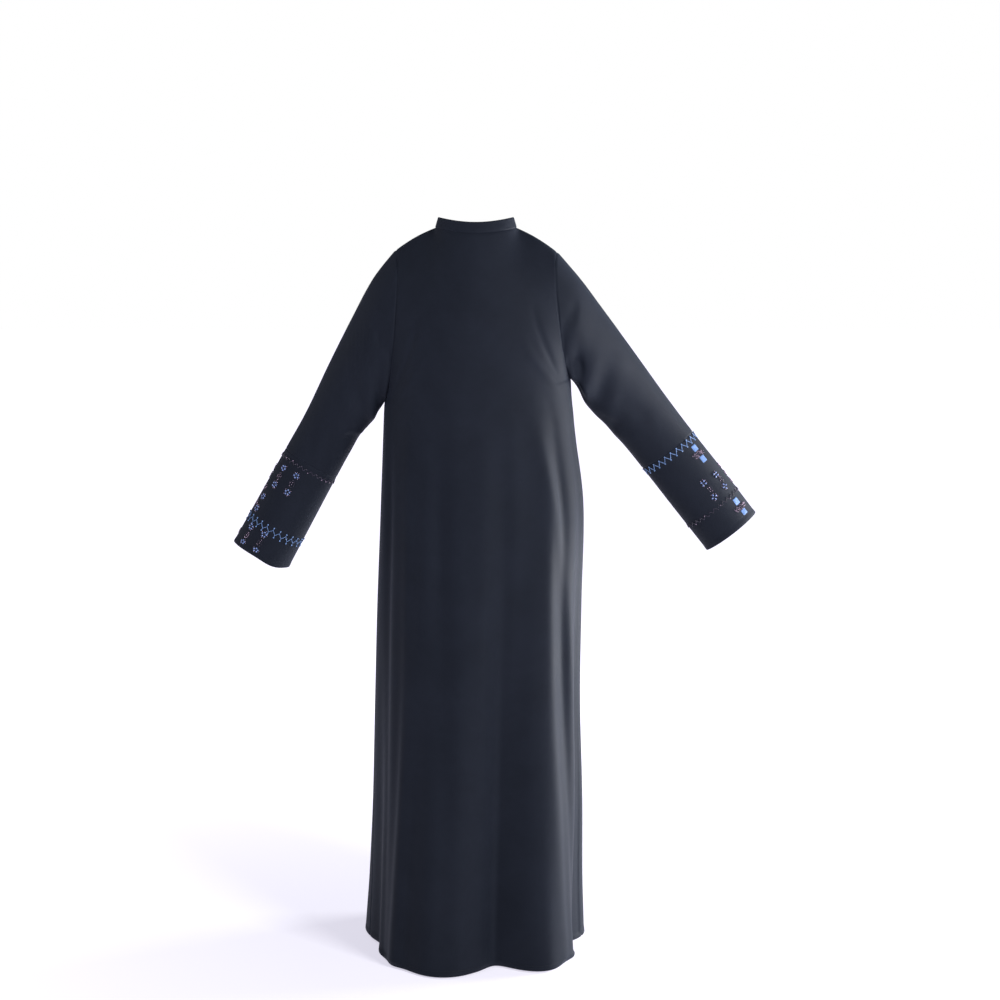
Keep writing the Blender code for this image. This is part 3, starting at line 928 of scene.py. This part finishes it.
def cuff_frame(side, along, round_):
    """Where a place on a cuff lies: the point, the way out, and the ways along and round.

    along is metres from the cuff's seam, round_ metres from its outer edge, positive on
    the back and negative on the front.
    """
    seam, last = SEAM_LOOP[side], len(LOOPS[side]) - 1
    place = seam + (last - seam) * along / CUFF_LENGTH
    turn = cuff_turn(side, round_)
    step = 0.01
    point = sleeve_point(side, place, turn)
    near, far = max(place - step, 0), min(place + step, last)
    run = (sleeve_point(side, far, turn) - sleeve_point(side, near, turn)).normalized()
    around = sleeve_point(side, place, turn + step) - sleeve_point(side, place, turn - step)
    around.normalize()
    out = run.cross(around).normalized()
    if out.dot(point - loop_middle(along_rows(LOOPS[side], place))) < 0:
        out.negate()
    return point, out, run, around


@functools.lru_cache
def cuff_lengths(side):
    """The lengths round a cuff from its outer edge, at even steps of the angle."""
    place = (SEAM_LOOP[side] + len(LOOPS[side]) - 1) / 2
    turns = [2 * math.pi * k / GIRTH_STEPS for k in range(GIRTH_STEPS + 1)]
    return running_lengths([[sleeve_point(side, place, turn) for turn in turns]])[0]


def cuff_turn(side, round_):
    """The angle round a cuff at a length round it from its outer edge."""
    lengths = cuff_lengths(side)
    length = round_ % lengths[-1]
    k = next(i for i in range(GIRTH_STEPS) if length <= lengths[i + 1])
    share = (length - lengths[k]) / (lengths[k + 1] - lengths[k])
    return 2 * math.pi * (k + share) / GIRTH_STEPS


def matrix_at(point, long_way, across, out):
    """The matrix that sets a thing at a point, its X, Y and Z turned to the given ways."""
    matrix = Matrix((long_way, across, out)).transposed().to_4x4()
    matrix.translation = point
    return matrix


# One cuff under decoration: which it is, the shape of each kind of bead, and its chances
Cuff = collections.namedtuple("Cuff", "side shapes chance")


def set_on(side, along, round_, lift, long_way=1.0, wide_way=0.0):
    """The matrix that sets a bead on a cuff: its long way turned round the way out."""
    point, out, run, around = cuff_frame(side, along, round_)
    way = (run * long_way + around * wide_way).normalized()
    return matrix_at(point + out * lift, way, out.cross(way), out)


def add_bead(cuff, kind, along, round_, size, ways=(1.0, 0.0)):
    """A round or oval bead sewn on a cuff. size is its half length, width and height."""
    matrix = set_on(cuff.side, along, round_, size[2] * BEAD_SEAT, *ways)
    matrix = matrix @ Matrix.Diagonal((*size, 1.0))
    bmesh.ops.create_uvsphere(
        cuff.shapes[kind], u_segments=8, v_segments=6, radius=1.0, matrix=matrix
    )


def add_ball(shape, matrix, size):
    """A tiny faceted ball, stretched to its half length, width and height."""
    matrix = matrix @ Matrix.Diagonal((*size, 1.0))
    bmesh.ops.create_icosphere(shape, subdivisions=1, radius=1.0, matrix=matrix)


def add_seed(cuff, kind, along, round_, radius=SEED_RADIUS):
    """A tiny round bead sewn on a cuff."""
    matrix = set_on(cuff.side, along, round_, radius * BEAD_SEAT)
    add_ball(cuff.shapes[kind], matrix, (radius, radius, radius))


def add_cord(shape, path, radius, closed=False):
    """A round cord through a path of (point, out) pairs, as a bridged row of rings."""
    rings = []
    last = len(path) - 1
    for i, (point, out) in enumerate(path):
        before = path[i - 1 if closed else max(i - 1, 0)][0]
        after = path[(i + 1) % len(path) if closed else min(i + 1, last)][0]
        run = (after - before).normalized()
        across = out.cross(run).normalized()
        matrix = matrix_at(point + out * radius * 0.7, across, run.cross(across), run)
        made = bmesh.ops.create_circle(
            shape, cap_ends=False, segments=CORD_SIDES, radius=radius, matrix=matrix
        )
        rings.append({edge for vert in made["verts"] for edge in vert.link_edges})
    pairs = list(zip(rings, rings[1:]))
    if closed:
        pairs.append((rings[-1], rings[0]))
    for first, second in pairs:
        bmesh.ops.bridge_loops(shape, edges=list(first | second))


def corded_zigzag(cuff):
    """The light blue corded zigzag all round a cuff, with a knob on a stem at each corner."""
    side, cord = cuff.side, cuff.shapes["cord"]
    girth = cuff_lengths(side)[-1]
    half_height, knob, radius = ZIGZAG_HALF_HEIGHT[side], KNOB_RADIUS[side], CORD_RADIUS[side]
    count = 2 * ZIGZAG_COUNT
    corners = [(1 if k % 2 else -1, girth * k / count) for k in range(count + 1)]

    def middle(place):
        """Where the zigzag's middle line lies: a little nearer the seam at the outer edge."""
        lean = ZIGZAG_LEAN[side] * (1 + math.cos(2 * math.pi * place / girth)) / 2
        return ZIGZAG_ROW[side] - lean

    path = []
    for (way, place), (next_way, next_place) in zip(corners, corners[1:]):
        for k in range(ZIGZAG_STEPS):
            share = k / ZIGZAG_STEPS
            here = place + (next_place - place) * share
            height = (way + (next_way - way) * share) * half_height
            path.append(cuff_frame(side, middle(here) + height, here)[:2])
    add_cord(cord, path, radius, closed=True)
    for way, place in corners[:-1]:
        foot = middle(place) + way * half_height
        tip = foot + way * ZIGZAG_STEM[side]
        stem = [cuff_frame(side, foot + (tip - foot) * share, place)[:2] for share in (0, 0.5, 1)]
        add_cord(cord, stem, radius * 0.9)
        add_bead(cuff, "knobs", tip, place, (knob, knob, knob * 0.8))


def dark_or_pink(cuff, pink_share):
    """The kind of the next small bead: pink for a share of them, and otherwise dark."""
    return "pink_beads" if cuff.chance.random() < pink_share else "dark_beads"


def bead_wave(cuff):
    """A zigzag of small dark beads all round a cuff, with a paler one here and there."""
    pitch = cuff_lengths(cuff.side)[-1] / WAVE_COUNT
    for k in range(WAVE_COUNT * WAVE_BEADS):
        phase = (k % WAVE_BEADS) / WAVE_BEADS
        height = (abs(2 * phase - 1) * 2 - 1) * WAVE_HALF_HEIGHT
        kind = dark_or_pink(cuff, 0.07)
        if cuff.chance.random() < 0.04:
            continue
        along = BEAD_WAVE_ROW[cuff.side] + height
        add_seed(cuff, kind, along, pitch * k / WAVE_BEADS, WAVE_BEAD_RADIUS)


def ring(count, reach, turn0=0.0):
    """Steps along and round a cuff from the middle of a ring to each place on it."""
    for k in range(count):
        turn = turn0 + 2 * math.pi * k / count
        yield reach * math.cos(turn), reach * math.sin(turn)


def bead_flower(cuff, along, round_, name, turn0):
    """A ring of lilac petal beads, a dark one in the middle, and tiny ones round the rim."""
    petals, reach, bead, middle, rim, pink_share = FLOWERS[name]
    for up, wide in ring(petals, reach, turn0):
        ways = (up, wide) if bead[0] > bead[1] else (1.0, 0.0)
        add_bead(cuff, "lilac_beads", along + up, round_ + wide, bead, ways)
    add_seed(cuff, "dark_beads", along, round_, middle)
    for up, wide in ring(2 * petals, rim, turn0 + math.pi / (2 * petals)):
        add_seed(cuff, dark_or_pink(cuff, pink_share), along + up, round_ + wide)


def bead_leaf(cuff, along, round_, half_long, half_wide):
    """A leaf outlined in tiny dark and pink beads, with a short rib inside it."""
    for up, wide in ring(LEAF_BEADS, 1.0):
        pinch = math.copysign(half_wide * abs(wide) ** 1.3, wide)
        add_seed(cuff, dark_or_pink(cuff, 0.3), along + half_long * up, round_ + pinch)
    for k in range(4):
        kind = "pink_beads" if k % 2 else "dark_beads"
        add_seed(cuff, kind, along + half_long * (0.45 - 0.3 * k), round_, 0.0008)


def bead_cluster(cuff, along, round_):
    """A small heap of tiny beads, close in the middle and loose at its rim."""
    for k in range(CLUSTER_SEEDS):
        turn = CLUSTER_TURN * k
        reach = CLUSTER_SPREAD * math.sqrt(k) * cuff.chance.uniform(0.9, 1.1)
        up, wide = reach * math.cos(turn), reach * math.sin(turn)
        kind = dark_or_pink(cuff, 0.5)
        add_seed(cuff, kind, along + up, round_ + wide, cuff.chance.uniform(0.0007, 0.0011))


def satin_square(shape, side, along, round_):
    """A square of blue satin stitch: close parallel threads, raised in the middle."""
    columns, rows = 4 * SQUARE_THREADS, 6
    made = bmesh.ops.create_grid(shape, x_segments=columns, y_segments=rows, size=0.5)
    for vert in made["verts"]:
        x, y = vert.co.x, vert.co.y
        rib = abs(math.sin(math.pi * (x + 0.5) * SQUARE_THREADS))
        crown = (1 - (2 * x) ** 4) * (1 - (2 * y) ** 4)
        ragged = 0.012 * math.sin(29 * x) * (1 if y > 0 else -1) * abs(2 * y)
        point, out, _, _ = cuff_frame(
            side, along + x * SQUARE_SIDE, round_ + (y + ragged) * SQUARE_SIDE
        )
        lift = 0.0002 + 0.0007 * min(1.0, 3 * crown) + 0.00025 * rib
        if max(abs(x), abs(y)) > 0.499:
            lift = -0.0002
        vert.co = point + out * lift


def decorate_left(cuff):
    """The left cuff's bead wave, bead flowers, leaves and clusters."""
    def flower(along, round_):
        """A round flower turned by chance."""
        bead_flower(cuff, along, round_, "round", cuff.chance.uniform(0, 2 * math.pi))

    bead_wave(cuff)
    for face in (1, -1):
        for column in (NEAR_COLUMN, FAR_COLUMN):
            for along in LEFT_FLOWER_ROWS:
                flower(along, face * column)
            for along in LEFT_LEAF_ROWS:
                bead_leaf(cuff, along, face * column, 0.0075, 0.0048)
        for along in LEFT_EDGE_FLOWER_ROWS:
            flower(along, face * EDGE_COLUMN)
        for along in (0.088, 0.1225):
            bead_cluster(cuff, along, face * 0.014)
    for along in (0.045, 0.062, 0.190):
        bead_cluster(cuff, along, 0.0)


def decorate_right(cuff):
    """The right cuff's bead wave, checks of satin squares and beads, flowers and leaves."""
    bead_wave(cuff)
    for face in (1, -1):
        for middle in SQUARE_ROWS:
            for step in (-SQUARE_STEP, SQUARE_STEP):
                place = face * (NEAR_COLUMN - 0.001)
                satin_square(cuff.shapes["satin_squares"], cuff.side, middle + step, place)
            for step in (-0.0115, 0.0, 0.0115):
                bead_cluster(cuff, middle, face * (NEAR_COLUMN + step))
        for column, rows in ((NEAR_COLUMN, NEAR_CROSS_ROWS), (FAR_COLUMN, FAR_CROSS_ROWS)):
            for turn0, along in zip((math.pi / 4, 0.0), rows):
                bead_flower(cuff, along, face * column, "cross", turn0)
            bead_leaf(cuff, RIGHT_LEAF_ROW, face * (column - 0.004), 0.0072, 0.0046)
    for along in (0.092, 0.112, 0.132):
        bead_cluster(cuff, along, 0.004)


def build_decoration():
    """The beads, cords and satin squares of both cuffs, each with its kind."""
    made = []
    for side, word, decorate in ((LEFT, "left", decorate_left), (RIGHT, "right", decorate_right)):
        names = {kind: f"{kind}_{word}" for kind in ("lilac_beads", "pink_beads", "dark_beads")}
        if side == RIGHT:
            names["satin_squares"] = "satin_squares_right"
        names["cord"], names["knobs"] = f"zigzag_{word}_cord", f"zigzag_{word}_knobs"
        cuff = Cuff(side, {kind: bmesh.new() for kind in names}, random.Random(7 + side))
        decorate(cuff)
        corded_zigzag(cuff)
        for kind, shape in cuff.shapes.items():
            if kind in ("satin_squares", "cord"):
                bmesh.ops.recalc_face_normals(shape, faces=shape.faces[:])
            made.append((kind, object_from(names[kind], shape)))
    return made


def add_stitches(shape, line):
    """Small stitches along a line of (point, out) pairs."""
    lengths = running_lengths([[point for point, _ in line]])[0]
    count = int(lengths[-1] / STITCH_SPACING)
    k = 0
    for i in range(count):
        length = (i + 0.5) * lengths[-1] / count
        while k < len(lengths) - 2 and lengths[k + 1] < length:
            k += 1
        share = (length - lengths[k]) / max(lengths[k + 1] - lengths[k], 1e-9)
        (point, out), (next_point, next_out) = line[k], line[k + 1]
        out = out.lerp(next_out, share).normalized()
        run = (next_point - point).normalized()
        across = out.cross(run).normalized()
        place = point.lerp(next_point, share) + out * STITCH_LIFT
        add_ball(shape, matrix_at(place, run, across, run.cross(across)), STITCH_SIZE)


def body_line(front, first, last, count=360):
    """The hem stitches' line along the body, as points and ways out."""
    line = []
    for i in range(count + 1):
        u = first + (last - first) * i / count
        degrees = degrees_of(u, front)
        z = hem_height(degrees) + HEM_STITCH
        point = body_point(degrees, z)
        run = body_point(degrees + 0.5, z) - body_point(degrees - 0.5, z)
        up = body_point(degrees, z + 0.004) - body_point(degrees, z - 0.004)
        out = run.cross(up).normalized()
        if out.dot(from_body_middle(point)) < 0:
            out.negate()
        lift = lap_lift(u) if front and u > -LAP_HALF and last > LAP_HALF else 0.0
        line.append((point + out * (lift + body_detail(degrees, z)), out))
    return line


def build_stitches(lap_line):
    """The sewn lines of the hems and of the lap, as one piece."""
    shape = bmesh.new()
    add_stitches(shape, lap_line)
    for front, first, last in ((False, -1, 1), (True, -1, -LAP_HALF), (True, -LAP_HALF, 1)):
        add_stitches(shape, body_line(front, first, last))
    for side in (LEFT, RIGHT):
        girth = cuff_lengths(side)[-1]
        places = [girth * k / GIRTH_STEPS for k in range(GIRTH_STEPS + 1)]
        line = [cuff_frame(side, CUFF_LENGTH - HEM_STITCH, place)[:2] for place in places]
        add_stitches(shape, line)
    return object_from("hem_stitches", shape)


def set_sockets(node, values):
    """Set the values of a node's sockets."""
    for socket, value in values.items():
        node.inputs[socket].default_value = value


def new_node(tree, kind, values, **settings):
    """A new shader node with its settings and the values of its sockets."""
    node = tree.nodes.new("ShaderNode" + kind)
    for name, value in settings.items():
        setattr(node, name, value)
    set_sockets(node, values)
    return node


def link_nodes(tree, *links):
    """Link sockets, each link given as a node, its output, a node and its input."""
    for source, output, target, socket in links:
        tree.links.new(source.outputs[output], target.inputs[socket])


def new_material(name, values):
    """A new material, its node tree, and its Principled shader with the values set."""
    material = bpy.data.materials.new(name)
    material.use_nodes = True
    shader = material.node_tree.nodes["Principled BSDF"]
    set_sockets(shader, values)
    return material, material.node_tree, shader


def crepe(name):
    """Matt black crepe: a fine pebbled weave, a soft sheen, and slight unevenness."""
    material, tree, shader = new_material(name, {
        "Specular IOR Level": 0.10,
        "Specular Tint": (0.80, 0.88, 1.0, 1.0),
        "Sheen Weight": 0.05,
        "Sheen Roughness": 0.45,
        "Sheen Tint": (0.55, 0.68, 1.0, 1.0),
    })
    cloth = new_node(tree, "UVMap", {}, uv_map="cloth")
    pebble = new_node(tree, "TexNoise", {"Scale": 1500.0, "Detail": 2.0, "Roughness": 0.6})
    warp_values = {"Scale": 420.0, "Distortion": 1.6, "Detail": 1.0, "Detail Scale": 2.0}
    warp = new_node(tree, "TexWave", warp_values, wave_type="BANDS", bands_direction="X")
    mottle = new_node(tree, "TexNoise", {"Scale": 9.0, "Detail": 4.0, "Roughness": 0.65})
    ramp = new_node(tree, "ValToRGB", {})
    dark, light = ramp.color_ramp.elements
    dark.position, dark.color = 0.30, CREPE_DARK
    light.position, light.color = 0.72, CREPE_LIGHT
    grain = new_node(tree, "Mix", {"Factor": 0.35}, data_type="FLOAT")
    bump = new_node(tree, "Bump", {"Strength": 0.5, "Distance": 0.0002})
    rough = new_node(tree, "MapRange", {"To Min": 0.62, "To Max": 0.74})
    link_nodes(
        tree,
        (cloth, "UV", pebble, "Vector"),
        (cloth, "UV", warp, "Vector"),
        (cloth, "UV", mottle, "Vector"),
        (mottle, "Fac", ramp, "Fac"),
        (ramp, "Color", shader, "Base Color"),
        (pebble, "Fac", grain, "A"),
        (warp, "Fac", grain, "B"),
        (grain, "Result", bump, "Height"),
        (bump, "Normal", shader, "Normal"),
        (mottle, "Fac", rough, "Value"),
        (rough, "Result", shader, "Roughness"),
    )
    return material


def varied(colour, share):
    """A colour made darker or lighter."""
    return [min(c * share, 1.0) for c in colour[:3]] + [1.0]


def twisted_thread(name, colour, roughness, scale):
    """Embroidery thread: one colour with a fine twist across it, painted darker in the twist's
    grooves as painted shade.
    """
    material, tree, shader = new_material(
        name, {"Roughness": roughness, "Specular IOR Level": 0.35}
    )
    place = new_node(tree, "TexCoord", {})
    values = {"Scale": scale, "Distortion": 1.0}
    twist = new_node(tree, "TexWave", values, bands_direction="DIAGONAL")
    # Painted shade: the thread's colour is darker where the twist's bump is low, in its grooves
    shade = new_node(tree, "Mix", {}, data_type="RGBA")
    set_sockets(shade, {"A": varied(colour, 0.72), "B": colour})
    bump = new_node(tree, "Bump", {"Strength": 0.4, "Distance": 0.0002})
    link_nodes(
        tree,
        (place, "Object", twist, "Vector"),
        (twist, "Fac", shade, "Factor"),
        (shade, "Result", shader, "Base Color"),
        (twist, "Fac", bump, "Height"),
        (bump, "Normal", shader, "Normal"),
    )
    return material


def glass_bead(name, colour, roughness, metallic):
    """A small bead with a lustre, its colour a little uneven from bead to bead."""
    material, tree, shader = new_material(
        name, {"Roughness": roughness, "Metallic": metallic}
    )
    place = new_node(tree, "TexCoord", {})
    uneven = new_node(tree, "TexNoise", {"Scale": 260.0, "Detail": 1.0})
    shade = new_node(tree, "Mix", {}, data_type="RGBA")
    set_sockets(shade, {"A": varied(colour, 0.55), "B": varied(colour, 1.35)})
    link_nodes(
        tree,
        (place, "Object", uneven, "Vector"),
        (uneven, "Fac", shade, "Factor"),
        (shade, "Result", shader, "Base Color"),
    )
    return material


def put_on(piece, material):
    """Give a piece its one material."""
    piece.data.materials.clear()
    piece.data.materials.append(material)


def build_floor():
    """The pale floor, which glows more further from the abaya: painted light, lilac so that its
    shadows show lilac, and weaker near the abaya so that the lamps' shadows show there.
    """
    shape = bmesh.new()
    bmesh.ops.create_grid(shape, x_segments=1, y_segments=1, size=FLOOR_HALF)
    bmesh.ops.translate(shape, verts=shape.verts[:], vec=(0, 0, FLOOR_Z))
    floor = object_from("studio_floor", shape)
    material, tree, shader = new_material("pale_floor", {
        "Base Color": FLOOR_COLOUR,
        "Roughness": 0.7,
        "Specular IOR Level": 0.1,
        # Painted light: the floor's lilac glow, which gives its shadows their lilac colour
        "Emission Color": FLOOR_GLOW_TINT,
    })
    place = new_node(tree, "TexCoord", {})
    far = new_node(tree, "VectorMath", {}, operation="LENGTH")
    # Painted light: the glow is weaker near the abaya, so the lamps' shadows show there
    glow_here = new_node(tree, "MapRange", {
        "From Min": FLOOR_NEAR,
        "From Max": FLOOR_FAR,
        "To Min": FLOOR_GLOW_NEAR,
        "To Max": FLOOR_GLOW_FAR,
    })
    link_nodes(
        tree,
        (place, "Object", far, 0),
        (far, "Value", glow_here, "Value"),
        (glow_here, "Result", shader, "Emission Strength"),
    )
    put_on(floor, material)


def build_surround():
    """The soft glow all round, behind which the camera sees plain white."""
    world = bpy.data.worlds.new("white_studio")
    world.use_nodes = True
    tree = world.node_tree
    glow = tree.nodes["Background"]
    set_sockets(glow, {"Color": SURROUND_COLOUR, "Strength": SURROUND})
    backdrop = new_node(tree, "Background", {"Color": (1.0, 1.0, 1.0, 1.0)})
    seen = new_node(tree, "LightPath", {})
    mix = new_node(tree, "MixShader", {})
    link_nodes(
        tree,
        (seen, "Is Camera Ray", mix, "Fac"),
        (glow, "Background", mix, 1),
        (backdrop, "Background", mix, 2),
        (mix, "Shader", tree.nodes["World Output"], "Surface"),
    )
    bpy.context.scene.world = world


def build_lamps():
    """The soft lamps, all aimed at the middle of the abaya."""
    for name, place, size, energy, colour in LAMPS:
        light = bpy.data.lights.new(name, "AREA")
        light.shape = "RECTANGLE"
        light.size, light.size_y = size
        light.energy = energy
        light.color = colour
        lamp = new_object(name, light)
        lamp.location = place
        lamp.rotation_mode = "QUATERNION"
        aim = Vector(LAMP_AIM) - Vector(place)
        lamp.rotation_quaternion = aim.to_track_quat("-Z", "Y")


def build_camera():
    """The camera behind the wearer, and plain colours."""
    lens = bpy.data.cameras.new("camera")
    lens.type = "PERSP"
    lens.sensor_fit = "HORIZONTAL"
    lens.sensor_width = 36.0
    lens.lens = LENS
    camera = new_object("camera", lens)
    camera.location = CAMERA_PLACE
    camera.rotation_euler = (math.radians(90 - CAMERA_DOWN), 0.0, 0.0)
    scene = bpy.context.scene
    scene.camera = camera
    scene.view_settings.view_transform = "Standard"
    scene.view_settings.look = "None"


def main():
    """Make, finish and place every piece."""
    build_floor()
    build_surround()
    build_lamps()
    build_camera()
    cloth, lap_line = build_body_and_sleeves()
    cloth["neckband"] = build_neckband()
    decoration = build_decoration()
    stitches = build_stitches(lap_line)

    black = crepe("black_crepe")
    finishes = {
        "lilac_beads": glass_bead("lilac_glass", BEAD_LILAC, 0.18, 0.0),
        "pink_beads": glass_bead("pink_glass", BEAD_PINK, 0.22, 0.3),
        "dark_beads": glass_bead("dark_glass", BEAD_DARK, 0.20, 0.0),
        "satin_squares": twisted_thread("blue_satin_thread", SATIN_BLUE, 0.38, 900.0),
        "cord": twisted_thread("light_blue_cord", CORD_BLUE, 0.55, 700.0),
        "knobs": twisted_thread("light_blue_knots", CORD_BLUE, 0.50, 900.0),
        "stitches": twisted_thread("black_thread", THREAD_BLACK, 0.5, 1500.0),
    }
    for name, piece in cloth.items():
        put_on(piece, black)
        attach(piece, "root")
        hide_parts(name)
    for kind, piece in (*decoration, ("stitches", stitches)):
        put_on(piece, finishes[kind])
        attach(piece, "root")


main()
